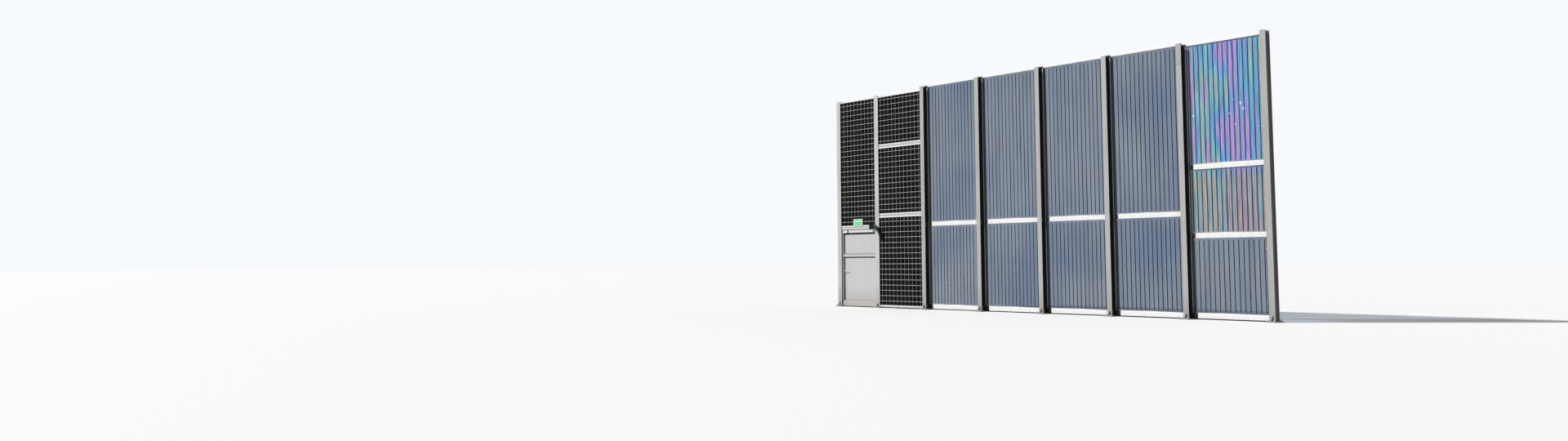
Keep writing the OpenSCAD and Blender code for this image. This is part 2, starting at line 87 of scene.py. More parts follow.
def chain(tree, operation, values):
    """A Math operation carried on from each value to the next."""
    result = values[0]
    for value in values[1:]:
        result = calc(tree, operation, result, value)
    return result


def times(tree, *masks):
    """The product of masks and values."""
    return chain(tree, "MULTIPLY", masks)


def remap(tree, value, low, high, start=0.0, end=1.0):
    """The start where the value is low, the end where it is high, and even between them."""
    return node(tree, "MapRange", {"Value": value, "From Min": low, "From Max": high, "To Min": start,
                                   "To Max": end}).outputs[0]


def blend(tree, mask, a, b):
    """Colour a where the mask is 0, and b where it is 1."""
    return node(tree, "Mix", {0: mask, 6: a, 7: b}, data_type="RGBA").outputs[2]


def scaled(tree, colour, factor):
    """A colour made brighter or darker."""
    return node(tree, "VectorMath", {0: colour, "Scale": factor}, operation="SCALE").outputs[0]


def place(tree, axis):
    """X, Y or Z of the surface point, in metres along the wall, across it or up it."""
    coordinates = node(tree, "TexCoord").outputs["Object"]
    return node(tree, "SeparateXYZ", {0: coordinates}).outputs[axis]


def within(tree, axis, middle, half):
    """1 where the surface point is within half of the middle along an axis, and 0 elsewhere."""
    return calc(tree, "COMPARE", place(tree, axis), middle, half)


def stretched(tree, x, y, z):
    """Object coordinates, each multiplied by its own factor."""
    coordinates = node(tree, "TexCoord").outputs["Object"]
    return node(tree, "VectorMath", {0: coordinates, 1: (x, y, z)}, operation="MULTIPLY").outputs[0]


def noise(tree, stretch, scale, detail, roughness=0.5):
    """Soft noise from 0 to 1 on stretched coordinates."""
    return node(tree, "TexNoise", {"Vector": stretched(tree, *stretch), "Scale": scale, "Detail": detail,
                                   "Roughness": roughness}).outputs[0]


def effect(name, takes, gives):
    """An empty node group, and its two end nodes. takes and gives name its sockets and their kinds."""
    tree = bpy.data.node_groups.new(name, "ShaderNodeTree")
    for sockets, way in ((takes, "INPUT"), (gives, "OUTPUT")):
        for label, kind in sockets.items():
            tree.interface.new_socket(label, in_out=way, socket_type="NodeSocket" + kind)
    return tree, tree.nodes.new("NodeGroupInput").outputs, tree.nodes.new("NodeGroupOutput").inputs


def use(tree, group, **values):
    """The outputs of a node group, placed in a material with its own values."""
    return node(tree, "Group", values, node_tree=group).outputs


# Weather: mottling over the whole surface, and grime in streaks that run down it
WEATHER, given, made = effect(
    "weather", {"Color": "Color", "Grime": "Color", "Amount": "Float", "Scale": "Float"}, {"Color": "Color"})
streaks = remap(WEATHER, noise(WEATHER, (1, 1, 0.07), given["Scale"], 5), 0.44, 0.78)
mottle = remap(WEATHER, noise(WEATHER, (1, 1, 1), 23, 3), 0, 1, 0.93, 1.07)
stained = blend(WEATHER, times(WEATHER, streaks, given["Amount"]), scaled(WEATHER, given["Color"], mottle),
                given["Grime"])
WEATHER.links.new(stained, made["Color"])

# Grain: the fine unevenness of a rolled, cast or sprayed surface, in its roughness and its normal
GRAIN, given, made = effect(
    "grain", {"Scale": "Float", "Depth": "Float", "Roughness": "Float", "Spread": "Float"},
    {"Roughness": "Float", "Normal": "Vector"})
cloud = calc(GRAIN, "MULTIPLY_ADD", noise(GRAIN, (1, 1, 0.3), 4, 4), 2, -1)
grit = noise(GRAIN, (1, 1, 1), given["Scale"], 4)
relief = node(GRAIN, "Bump", {"Strength": given["Depth"], "Distance": 0.002, "Height": grit})
GRAIN.links.new(calc(GRAIN, "MULTIPLY_ADD", cloud, given["Spread"], given["Roughness"]), made["Roughness"])
GRAIN.links.new(relief.outputs[0], made["Normal"])

# Dust: full up to the low height, and thinning out evenly from there to the high one
DUST, given, made = effect("dust", {"Low": "Float", "High": "Float", "Amount": "Float"}, {"Mask": "Float"})
DUST.links.new(remap(DUST, place(DUST, "Z"), given["Low"], given["High"], given["Amount"], 0.0), made["Mask"])


def blank(name, constants):
    """A new material and its shader, with constants on the shader's sockets."""
    material = bpy.data.materials.new(name)
    material.use_nodes = True
    shader = material.node_tree.nodes["Principled BSDF"]
    for label, value in constants.items():
        shader.inputs[label].default_value = value
    return material, shader


def finish(name, colour, grime=ROAD_GRIME, amount=0.3, scale=8.0, rough=0.5, spread=0.08, metal=0.0,
           grain=220.0, depth=0.12, gloss=0.5):
    """A material of one shader, coloured by the weather group and roughened by the grain group."""
    material, shader = blank(name, {"Metallic": metal, "Specular IOR Level": gloss})
    tree = material.node_tree
    worn = use(tree, WEATHER, Color=(*colour, 1), Grime=(*grime, 1), Amount=amount, Scale=scale)
    uneven = use(tree, GRAIN, Scale=grain, Depth=depth, Roughness=rough, Spread=spread)
    tree.links.new(worn["Color"], shader.inputs["Base Color"])
    tree.links.new(uneven["Roughness"], shader.inputs["Roughness"])
    tree.links.new(uneven["Normal"], shader.inputs["Normal"])
    return material


def paint_over(material, colour, *masks):
    """Where all the masks are 1, the colour takes the place of what the material had there."""
    tree = material.node_tree
    base = tree.nodes["Principled BSDF"].inputs["Base Color"]
    tree.links.new(blend(tree, times(tree, *masks), base.links[0].from_socket, (*colour, 1)), base)


def lay_over(material, group, colour, **values):
    """Paints over a material by the mask of a node group with its own values."""
    paint_over(material, colour, use(material.node_tree, group, **values)["Mask"])


def dress(names, material):
    """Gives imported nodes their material."""
    for name in names:
        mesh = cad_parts[name]
        if mesh.material_slots:
            mesh.material_slots[0].material = material
        else:
            mesh.data.materials.append(material)


def soften(names, width):
    """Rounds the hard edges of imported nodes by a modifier, which leaves their mesh as it is."""
    for name in names:
        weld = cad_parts[name].modifiers.new("weld", "WELD")
        weld.merge_threshold = 0.00005
        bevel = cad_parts[name].modifiers.new("bevel", "BEVEL")
        bevel.width = width
        bevel.segments = 2
        bevel.limit_method = "ANGLE"
        bevel.angle_limit = math.radians(40)


def post_paint(name, colour, posts):
    """Coating of some posts: pale outside, with a painted highlight along the flanges' rims, painted shade in the
    channels, and dusty at the foot."""
    material = finish(name, colour, grime=(0.2, 0.195, 0.19), amount=0.45, scale=13, rough=0.52)
    tree = material.node_tree
    gaps = [calc(tree, "ABSOLUTE", calc(tree, "SUBTRACT", place(tree, "X"), x)) for x in post_x[posts]]
    rim = calc(tree, "COMPARE", chain(tree, "MINIMUM", gaps), flange_half[posts][0], RIM)
    # Painted highlight: the flanges' rims are painted paler in patches, where light catches their edges
    highlight_patches = remap(tree, noise(tree, (1, 1, 0.3), 26, 4), 0.36, 0.60, 0, 0.75)
    paint_over(material, RIM_HIGHLIGHT, rim, highlight_patches)
    # Painted shade: the channels between the flanges are painted near black, where they lie in shade
    paint_over(material, SHADED_PAINT, within(tree, "Y", 0, CHANNEL_WALL + HAIR), 0.80)
    lay_over(material, DUST, FOOT_DUST, Low=0.0, High=0.7, Amount=0.55)
    return material


clear_paint = post_paint("post_coating", CLEAR_PAINT, CLEAR_POSTS)
dress(POSTS[CLEAR_POSTS], clear_paint)
dress(POSTS[DOOR_POSTS], post_paint("door_post_coating", DOOR_PAINT, DOOR_POSTS))

# The last post is a little darker. The top of the one before has a duller coat, laid on twice where it ends.
# Each coat: post, middle height, half height, strength
tree = clear_paint.node_tree
for post, middle, half, amount in ((7, 3.1, 3.1, 0.35), (6, 5.93, 0.26, 0.5), (6, 5.70, 0.035, 0.8)):
    on_post = within(tree, "X", post_x[post], flange_half[post] + FOOT_OVERHANG)
    paint_over(clear_paint, DULL_COAT, on_post, within(tree, "Z", middle, half), amount)
soften(POSTS, 0.0012)

# Anchor bolts
# Four threaded steel anchors at each foot, with a washer and a nut drawn down on the foot plate after the
# post is plumb. The studs stand proud of the nuts by two threads or so.
FOOT_TOP = 0.025
WASHER_T, NUT_H, STUD_TOP = 0.004, 0.018, 0.060
ANCHOR_Y = 0.140
anchors = [[x + sx * half, sy * ANCHOR_Y, FOOT_TOP]
           for x, half in zip(post_x, flange_half) for sx in (-1, 1) for sy in (-1, 1)]


def skin(rings, sides):
    """Faces of a tube whose points lie ring after ring: quads between each ring and the next, and a flat cap
    on the first ring and the last."""
    k = np.arange(sides)
    after = (k + 1) % sides
    ring = np.arange(rings - 1)[:, None] * sides
    quads = np.stack([ring + k, ring + after, ring + sides + after, ring + sides + k], axis=-1)
    return [quads.reshape(-1, 4), k[None, ::-1], k[None] + (rings - 1) * sides]


def flipped(faces):
    """The same faces, seen from the other side."""
    return [f[:, ::-1] for f in faces]


def turned(profile, sides, phase=0.0):
    """A profile of (r, z) points turned about Z: point (r, z) at angle a lies at (r cos a, r sin a, z)."""
    r, z = np.array(profile, float).T
    a = phase + np.arange(sides) * 2 * math.pi / sides
    points = np.stack([r[:, None] * np.cos(a), r[:, None] * np.sin(a), z[:, None] + 0 * a], axis=-1)
    return points.reshape(-1, 3), skin(len(r), sides)


def copied(faces, copies, points_each):
    """The faces of copies of a shape whose points follow one another."""
    step = (np.arange(copies) * points_each)[:, None, None]
    return [(step + f[None]).reshape(-1, f.shape[1]) for f in faces]


def repeated(shape, places, turn=np.eye(3)):
    """Copies of one shape: each point is turned, then moved to each place."""
    points, faces = shape
    places = np.asarray(places, float)
    moved = places[:, None, :] + (points @ np.asarray(turn, float).T)[None]
    return moved.reshape(-1, 3), copied(faces, len(places), len(points))


def together(*shapes):
    """Several shapes as one, with their face numbers run on."""
    starts = np.cumsum([0] + [len(points) for points, _ in shapes])
    return (np.concatenate([points for points, _ in shapes]),
            [f + start for (_, faces), start in zip(shapes, starts) for f in faces])


def piece(name, shape, material, body="wall", smooth=False):
    """A mesh object at the origin from a shape's points and faces, riding on a body."""
    points, faces = shape
    mesh = bpy.data.meshes.new(name)
    mesh.from_pydata(points.tolist(), [], [f for group in faces for f in group.tolist()])
    mesh.polygons.foreach_set("use_smooth", np.full(len(mesh.polygons), smooth))
    mesh.materials.append(material)
    made = bpy.data.objects.new(name, mesh)
    bpy.context.scene.collection.objects.link(made)
    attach(made, body)
    return made


zinc = finish("zinc_bright", (0.46, 0.47, 0.47), amount=0.35, rough=0.42, metal=0.75, grain=90, depth=0.2)
stud_h = STUD_TOP - FOOT_TOP
nut_top = WASHER_T + NUT_H
stud = turned([(0.012, 0.0), (0.012, stud_h - 0.002), (0.0095, stud_h)], 14)
washer = turned([(0.0215, 0.0), (0.022, 0.001), (0.022, WASHER_T - 0.0006), (0.0212, WASHER_T)], 20)
nut = turned([(0.0195, WASHER_T), (0.0208, WASHER_T + 0.0015), (0.0208, nut_top - 0.0015), (0.0190, nut_top)],
             6, 0.3)
piece("anchor_bolts", repeated(together(stud, washer, nut), anchors), zinc)

# Foot welds
# Fillet welds all round the foot of each post, laid by hand in short overlapping beads, then dipped and
# coated with the post, so they have its colour.
WELD_LEG, RIB_LEG, WELD_STEP = 0.007, 0.005, 0.006
RIB_HALF, RIB_CLEAR, RIB_NEAR, RIB_FAR = 0.005, 0.006, 0.098, 0.170
EDGE_NEAR, EDGE_FAR = 0.079, 0.089


def bead(start, end, out, leg=WELD_LEG):
    """A fillet weld from start to end on the foot plate: a quarter-round profile carried along the line, with
    a leg that swells and shrinks by a tenth as a sine of the way along and tapers at both ends. It leans on
    a face that looks the way that out says."""
    start, end, out = (np.array(v, float) for v in ((*start, FOOT_TOP), (*end, FOOT_TOP), out))
    n = max(8, int(np.linalg.norm(end - start) / WELD_STEP))
    t = np.linspace(0, 1, n)
    size = leg * (1 + 0.1 * np.sin(t * n * 2.2)) * np.clip(np.minimum(t, 1 - t) * n / 1.5, 0.15, 1)
    a = np.linspace(0, math.pi / 2, 5)
    line = start + (end - start) * t[:, None]
    section = np.stack([np.cos(a), np.sin(a)], axis=-1) * (0.75 + 0.25 * np.abs(np.cos(2 * a)))[:, None]
    section = np.concatenate([section, [[-0.1, -0.1]]])
    across = section[:, :1] * out + section[:, 1:] * [0, 0, 1]
    points = line[:, None] + size[:, None, None] * across
    faces = skin(n, len(section))
    inside_out = np.cross(end - start, out)[2] > 0
    return points.reshape(-1, 3), flipped(faces) if inside_out else faces


beads = []
for x, half in zip(post_x, flange_half):
    for s in (-1, 1):
        for a, b in ((-half, -RIB_CLEAR), (RIB_CLEAR, half)):
            beads.append(bead((x + a, s * FLANGE_FACE), (x + b, s * FLANGE_FACE), (0, s, 0)))
        for side in (-1, 1):
            rib, edge, out = x + side * RIB_HALF, x + side * half, (side, 0, 0)
            beads.append(bead((rib, s * RIB_NEAR), (rib, s * RIB_FAR), out, RIB_LEG))
            beads.append(bead((edge, s * EDGE_NEAR), (edge, s * EDGE_FAR), out))
piece("foot_welds", together(*beads), clear_paint)

# Green panel frames
# Rings of folded aluminium channel, mitred and riveted at the corners, with a sunk band along the top and
# bottom where one panel sits on the next. They slide down between the flanges, lowest first.
FRAMES = ["door_panel_frame", "green_frame_low", "green_frame_mid", "green_frame_top"]
FRAME_METAL, SUNK_BAND_SHADE = (0.76, 0.76, 0.75), (0.42, 0.42, 0.42)
SUNK_BAND, FRAME_EDGE, FRAME_FACE_Y = 0.025, 0.016, 0.076
SIDE_W, FACE_H = 0.050, 0.060
# No band shows above this height
BANDS_END = 6.0
RIVET_END, RIVET_IN, RIVET_PITCH = 0.150, 0.042, 0.300
# Each panel: node, left and right post centre, lower and upper end
PANELS = [(n, post_x[k], post_x[k + 1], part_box(n)[0].z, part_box(n)[1].z) for n, k in zip(FRAMES, (0, 1, 1, 1))]
for name, _, _, low, high in PANELS:
    metal = finish(f"{name}_metal", FRAME_METAL, amount=0.16, scale=11, rough=0.38, metal=0.25, depth=0.05)
    # Painted shade: the sunk bands at the joints are painted darker grey, where they lie in shade
    for edge in (low, high):
        if edge < BANDS_END:
            paint_over(metal, SUNK_BAND_SHADE, within(metal.node_tree, "Z", edge, SUNK_BAND))
    dress([name], metal)
soften(FRAMES, 0.001)


def dome(radius, height, sides=10, rings=4):
    """A domed head on Z = 0: at share t of its height the radius falls as the root of 1 minus t squared."""
    t = np.linspace(0, 0.96, rings)
    return turned([(radius * math.sqrt(1 - v * v), height * v) for v in t], sides)


def inside(k, side, end):
    """Left, right, lower and upper limit of a panel, less a margin at its sides and at its ends."""
    _, left, right, low, high = PANELS[k]
    return left + side, right - side, low + end, high - end


# Turns of a fitting made on Z = 0, so that it looks to the road (-1) or away from it (1)
FACING = {-1: [[1, 0, 0], [0, 0, -1], [0, 1, 0]], 1: [[-1, 0, 0], [0, 0, 1], [0, 1, 0]]}
rivets = []
for k in range(len(PANELS)):
    left, right, low, high = inside(k, RIVET_END, RIVET_IN)
    along = np.arange(left, right + 0.01, RIVET_PITCH)
    for s in (-1, 1):
        spots = [[a, s * FRAME_FACE_Y, z] for a in along for z in (low, high)]
        rivets.append(repeated(dome(0.004, 0.0018), spots, FACING[s]))
piece("frame_rivets", together(*rivets), zinc, smooth=True)

# Absorbing boards
# Mineral wool boards wrapped in dark green net, pressed in between the two grilles of each panel. The net
# swells a little through every square of the grille.
PITCH = 0.150
BOARD_FACE, BOARD_GAP = 0.057, 0.003
SWELL, CALM_SIDE, CALM_END = 0.0045, 0.045, 0.050
THREAD_PITCH = 0.006
net = finish("dark_green_net", (0.0022, 0.0032, 0.0025), grime=(0.018, 0.019, 0.014), amount=0.35, scale=5,
             rough=0.9, spread=0.05, grain=60, depth=0.3, gloss=0.04)
tree = net.node_tree
threads = [calc(tree, "ABSOLUTE", calc(tree, "SINE", times(tree, place(tree, axis), math.pi / THREAD_PITCH)))
           for axis in ("X", "Z")]
weave = calc(tree, "SMOOTH_MAX", *threads, 0.2)
paint_over(net, (0.006, 0.01, 0.008), calc(tree, "GREATER_THAN", weave, 0.985))
net_normal = tree.nodes["Principled BSDF"].inputs["Normal"]
woven = node(tree, "Bump", {"Strength": 0.5, "Distance": 0.001, "Height": weave,
                            "Normal": net_normal.links[0].from_socket})
tree.links.new(woven.outputs[0], net_normal)


def wire_lines(a, b):
    """Positions of the wires that lie centred between a and b at the grille's pitch."""
    n = int((b - a) / PITCH + 1e-6)
    return (a + b - (n - 1) * PITCH) / 2 + PITCH * np.arange(n)


def between_wires(a, b, lines, calm):
    """Points from a to b, six to a square of the grille, the number of each one's square, and a half sine
    between the wires beside it, held at 0 near both ends."""
    at = np.concatenate([[a], np.arange(lines[0] - PITCH, lines[-1] + 1.5 * PITCH, PITCH / 6), [b]])
    at = np.unique(np.clip(at, a, b).round(6))
    share = (at - lines[0]) / PITCH
    sine = np.abs(np.sin(math.pi * share)) * (np.minimum(at - a, b - at) > calm)
    return at, np.floor(share + 1e-6).astype(int) + 1, sine


def board(x0, x1, z0, z1, lines_x, lines_z, seed):
    """A board whose two faces swell between the wires: the rise is the square's own height times the root of
    the product of two half sines, one along the board and one up it. The edges run straight back."""
    u, square_u, sine_u = between_wires(x0, x1, lines_x, CALM_SIDE)
    v, square_v, sine_v = between_wires(z0, z1, lines_z, CALM_END)
    height = SWELL * np.random.default_rng(seed).uniform(0.5, 1.0, (len(lines_x) + 3, len(lines_z) + 3))
    rise = height[np.ix_(square_u, square_v)] * np.sqrt(np.outer(sine_u, sine_v))
    gu, gv = np.meshgrid(u, v, indexing="ij")
    sheets = [np.stack([gu, s * (BOARD_FACE + rise), gv], axis=-1).reshape(-1, 3) for s in (-1, 1)]
    n, m = gu.shape
    i, j = np.meshgrid(np.arange(n - 1), np.arange(m - 1), indexing="ij")
    quad = np.stack([i * m + j, (i + 1) * m + j, (i + 1) * m + j + 1, i * m + j + 1], axis=-1).reshape(-1, 4)
    rim = np.concatenate([np.arange(m), np.arange(1, n) * m + m - 1, (n - 1) * m + np.arange(m - 2, -1, -1),
                          np.arange(n - 2, 0, -1) * m])
    after = np.roll(rim, -1)
    edge = np.stack([rim, after, after + n * m, rim + n * m], axis=-1)
    return np.concatenate(sheets), [quad, quad[:, ::-1] + n * m, edge]


boards = {"door": [], "green": []}
grille_lines = []
for k in range(len(PANELS)):
    left, right, low, high = inside(k, FRAME_EDGE + SIDE_W, FACE_H)
    grille_lines.append((wire_lines(left, right), wire_lines(low, high)))
    limits = inside(k, FRAME_EDGE + BOARD_GAP, BOARD_GAP)
    boards["door" if k == 0 else "green"].append(board(*limits, *grille_lines[k], 31 + k))
for bay, parts in boards.items():
    made = piece(f"net_boards_{bay}", together(*parts), net, smooth=True)
    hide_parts("door_panel_infill" if bay == "door" else "green_infill")

# Grilles
# Round galvanised wire, welded where it crosses, level wires outside and uprights behind them. The ends
# run in behind the faces of the panel frame, which hold the grille against the board.
LEVEL_R, UPRIGHT_R, CROSSING = 0.004, 0.0025, 0.001
GRILLE_FACE, TAIL = 0.069, 0.025
wire_metal = finish("galvanised_wire", (0.62, 0.64, 0.62), grime=(0.24, 0.25, 0.22), amount=0.35, scale=14,
                    rough=0.5, metal=0.1, grain=400, depth=0.1)


def bars(lines, radius, side, seed, sides=8, stations=12, bow=0.0007):
    """A round wire along each line, given by its two ends: a circle carried along it, while it bows by a sine
    of a size of its own. side is the direction of the bow."""
    rng = np.random.default_rng(seed)
    starts, ends = np.array(lines, float).transpose(1, 0, 2)
    side = np.array(side, float)
    t = np.linspace(0, 1, stations)
    bend = rng.uniform(-bow, bow, (len(starts), 1)) * np.sin(math.pi * t * 2)
    line = starts[:, None] + (ends - starts)[:, None] * t[None, :, None] + bend[:, :, None] * side
    direction = (ends[0] - starts[0]) / np.linalg.norm(ends[0] - starts[0])
    up = np.cross(direction, side)
    a = np.arange(sides) * 2 * math.pi / sides
    points = line[:, :, None] + radius * (np.cos(a)[:, None] * side + np.sin(a)[:, None] * up)
    return points.reshape(-1, 3), copied(skin(stations, sides), len(starts), stations * sides)


def grille(s, panels):
    """The wires of some panels on the front (s = -1) or the rear (s = 1)."""
    made = []
    level_y = s * (GRILLE_FACE - LEVEL_R)
    upright_y = s * (GRILLE_FACE - 2 * LEVEL_R + CROSSING - UPRIGHT_R)
    for k in panels:
        left, right, low, high = inside(k, FRAME_EDGE + SIDE_W - TAIL, FACE_H - TAIL)
        lines_x, lines_z = grille_lines[k]
        levels = [[(left, level_y, z), (right, level_y, z)] for z in lines_z]
        uprights = [[(x, upright_y, low), (x, upright_y, high)] for x in lines_x]
        made.append(bars(levels, LEVEL_R, (0, 0, 1), 3 * k + s + 1))
        made.append(bars(uprights, UPRIGHT_R, (1, 0, 0), 3 * k + s + 40))
    return together(*made)


for bay, panels in (("door_panel", [0]), ("green", [1, 2, 3])):
    for side, s in (("front", -1), ("rear", 1)):
        made = piece(f"{bay}_{side}_wires", grille(s, panels), wire_metal, smooth=True)
        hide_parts(f"{bay}_{side}_mesh")

# Door frame and leaf
# Steel uprights in the post channels with a sill, a transom and a stop, and a filled steel leaf with a raised
# border, a middle rail and two sunk fields. All of it is sprayed pale grey.
leaf_low, leaf_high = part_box("door_leaf")
leaf_middle = (leaf_low.x + leaf_high.x) / 2
FIELD_SIDE, FIELD_DEPTH, CORNER = 0.046, 0.040, 0.0015
FIELD_Y = leaf_low.y + FIELD_DEPTH
FIELDS_TOP = leaf_high.z - 0.075
MID_RAIL_Y, MID_RAIL_LOW, MID_RAIL_HIGH = leaf_low.y + 0.010, 1.464, 1.556
NOTCH_X, NOTCH_HALF = leaf_low.x + 0.237, 0.030
LEAF_PAINT = (0.56, 0.555, 0.56)
SCUFF, LEAF_DUST = (0.38, 0.37, 0.36), (0.32, 0.3, 0.26)
RECESS_SHADE, MID_RAIL_RIM = (0.018, 0.016, 0.015), (0.34, 0.33, 0.325)
TOP_RAIL, TOP_RAIL_END, NOTCH = (0.72, 0.715, 0.71), (0.82, 0.815, 0.81), (0.02, 0.019, 0.02)


def door_paint(name):
    """Pale grey sprayed steel, with scuffs all over it and dust towards the ground."""
    material = finish(name, LEAF_PAINT, amount=0.12, scale=6, rough=0.42, spread=0.06, grain=35, depth=0.10,
                      gloss=0.2)
    tree = material.node_tree
    paint_over(material, SCUFF, remap(tree, noise(tree, (1, 1, 1), 9, 6, 0.7), 0.56, 0.72, 0, 0.28))
    lay_over(material, DUST, LEAF_DUST, Low=0.02, High=0.6, Amount=0.5)
    return material


leaf_paint = door_paint("leaf_coating")
tree = leaf_paint.node_tree
over_fields = within(tree, "X", leaf_middle, leaf_high.x - leaf_middle - FIELD_SIDE + CORNER)
on_mid_rail = times(tree, over_fields, within(tree, "Y", MID_RAIL_Y, HAIR))
on_field = times(tree, over_fields, within(tree, "Y", FIELD_Y, HAIR))
in_recess = times(tree, over_fields, within(tree, "Y", leaf_low.y + FIELD_DEPTH / 2, FIELD_DEPTH / 2 - HAIR))
recess_wall = calc(tree, "SUBTRACT", in_recess, on_mid_rail)
# Painted shade: the walls of the sunk fields are painted near black, where they lie in shade
paint_over(leaf_paint, RECESS_SHADE, recess_wall, 0.97)
paint_over(leaf_paint, MID_RAIL_RIM, on_mid_rail, within(tree, "Z", MID_RAIL_HIGH, 0.034))
# Painted shadows: a band on each field under the top rail and, fainter, under the middle rail, where the rails
# cast shade
for top, height, amount in ((FIELDS_TOP, 0.056, 0.98), (MID_RAIL_LOW, 0.045, 0.60)):
    paint_over(leaf_paint, RECESS_SHADE, on_field, within(tree, "Z", top - height / 2, height / 2), amount)
# The top rail is less weathered. It has a dark notch near its left end, and is brighter to the left of it
top_rail = times(tree, calc(tree, "GREATER_THAN", place(tree, "Z"), FIELDS_TOP - 0.004),
                 calc(tree, "LESS_THAN", place(tree, "Y"), FIELD_Y))
paint_over(leaf_paint, TOP_RAIL, top_rail, 0.7)
paint_over(leaf_paint, TOP_RAIL_END, top_rail, calc(tree, "LESS_THAN", place(tree, "X"), NOTCH_X))
paint_over(leaf_paint, NOTCH, top_rail, within(tree, "X", NOTCH_X, NOTCH_HALF))
dress(["door_leaf"], leaf_paint)
dress(["door_frame"], door_paint("door_frame_coating"))
soften(["door_frame", "door_leaf"], 0.0015)

# Door seals
# Hollow rubber strips on the stops, which the closed leaf squeezes. They are pushed into a groove and go
# right up the frame.
STOP_BACK = leaf_low.y - 0.005
SEAL_FOOT, SEAL_OUT, SEAL_HALF, SEAL_RISE = 0.063, 0.0022, 0.005, 0.0044
rubber = finish("black_rubber", (0.022, 0.022, 0.023), grime=(0.1, 0.095, 0.085), amount=0.3, scale=20,
                rough=0.62, grain=500, depth=0.15)


def half_round(start, end, half_width, rise, out, sides=8):
    """A bar of D section from start to end: at angle a its skin lies half_width times cos a to one side and
    rise times sin a outwards, so its flat back runs through start and end."""
    start, end, out = (np.asarray(v, float) for v in (start, end, out))
    ahead = (end - start) / np.linalg.norm(end - start)
    side = np.cross(out, ahead)
    a = np.linspace(0, math.pi, sides + 1)
    section = half_width * np.cos(a)[:, None] * side + rise * np.sin(a)[:, None] * out
    return np.concatenate([start + section, end + section]), flipped(skin(2, sides + 1))


stop_lines = [half_round((x, STOP_BACK, SEAL_FOOT), (x, STOP_BACK, leaf_high.z), SEAL_HALF, SEAL_RISE,
                         (0, 1, 0))
              for x in (leaf_low.x - SEAL_OUT, leaf_high.x + SEAL_OUT)]
piece("stop_seals", together(*stop_lines), rubber, smooth=True)

# Hinges
# Three lift-off hinges of turned and flat steel, screwed to leaf and frame through their plates, with the pin
# fixed in the lower half.
HINGE_Z = (0.3, 1.1, 1.9)
HINGE_X = post_x[0] + 1.537
PLATE_FACE = leaf_high.y + 0.006
UPPER_HALF = 0.0633
SCREW_ROWS, LEAF_COLUMNS, FRAME_COLUMNS = (0.012, 0.048), (-0.036, -0.056), (0.028, 0.046)
hinge_metal = finish("hinge_steel", (0.36, 0.36, 0.36), grime=(0.11, 0.08, 0.06), amount=0.45, scale=40,
                     rough=0.36, metal=0.85, grain=120, depth=0.1)
dress(["frame_hinges", "leaf_hinges"], hinge_metal)
screw_head = turned([(0.0045, 0.0), (0.0045, 0.0006), (0.0030, 0.0016), (0.0012, 0.0017)], 10)
# Screws of each half: columns beside the pin, height above the foot of the hinge, body
for half, columns, raised, body in (("leaf", LEAF_COLUMNS, UPPER_HALF, "door"),
                                    ("frame", FRAME_COLUMNS, 0.0, "wall")):
    spots = [[HINGE_X + dx, PLATE_FACE, z + raised + dz]
             for z in HINGE_Z for dx in columns for dz in SCREW_ROWS]
    piece(f"{half}_hinge_screws", repeated(screw_head, spots, FACING[1]), zinc, body=body)

# Levers
# A lever and a long lock plate of satin steel on each face of the leaf, joined through it, each plate with
# two screws and the ring of the lock's cylinder.
LEVER_X, LEVER_Z = post_x[0] + 0.168, 1.05
KEY_Z = LEVER_Z - 0.072
LOCK_PLATE_T, PLATE_SCREWS = 0.008, (0.060, -0.132)
plate_y = {-1: FIELD_Y - LOCK_PLATE_T, 1: leaf_high.y + LOCK_PLATE_T}
lever_metal = finish("satin_steel", (0.58, 0.58, 0.57), grime=(0.2, 0.19, 0.17), amount=0.2, scale=60,
                     rough=0.30, metal=0.9, grain=900, depth=0.05)
tree = lever_metal.node_tree
# The slot of the cylinder
paint_over(lever_metal, (0.01, 0.01, 0.01), within(tree, "X", LEVER_X, 0.0012),
           within(tree, "Z", KEY_Z, 0.0042))
dress(["door_handles"], lever_metal)
plate_screws = [repeated(screw_head, [[LEVER_X, y, LEVER_Z + dz] for dz in PLATE_SCREWS], FACING[s])
                for s, y in plate_y.items()]
piece("lock_plate_screws", together(*plate_screws), zinc, body="door")

# Exit sign
# A thin aluminium plate, printed mint green in a pale border with bars and lines, and left without words. It
# stands on two spacers in front of the panel over the door.
sign_low, sign_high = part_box("exit_sign")
centre_x = (sign_low.x + sign_high.x) / 2
PRINT_X = centre_x + 0.010
MINT, PALE_MINT, DEEP_MINT = (0.15, 0.72, 0.31), (0.56, 0.83, 0.6), (0.05, 0.32, 0.13)
BOLT_DX, BOLT_UP = 0.159, 0.016
sign = finish("sign_print", (0.48, 0.7, 0.52), amount=0.06, rough=0.35, grain=300, depth=0.03)
tree = sign.node_tree


def printed(half_width, below_top, half_height, colour):
    """Prints a level bar on the sign, whose middle lies some way below the sign's top edge."""
    paint_over(sign, colour, within(tree, "X", PRINT_X, half_width),
               within(tree, "Z", sign_high.z - below_top, half_height))


printed(0.148, 0.104, 0.078, MINT)
printed(0.140, 0.070, 0.022, PALE_MINT)
for depth in (0.033, 0.104, 0.174):
    printed(0.142, depth, 0.0075, DEEP_MINT)
dress(["exit_sign"], sign)
sign_spots = [[centre_x + s * BOLT_DX, sign_low.y, sign_low.z + BOLT_UP] for s in (-1, 1)]
piece("sign_bolts", repeated(dome(0.006, 0.003), sign_spots, FACING[-1]), zinc, smooth=True)

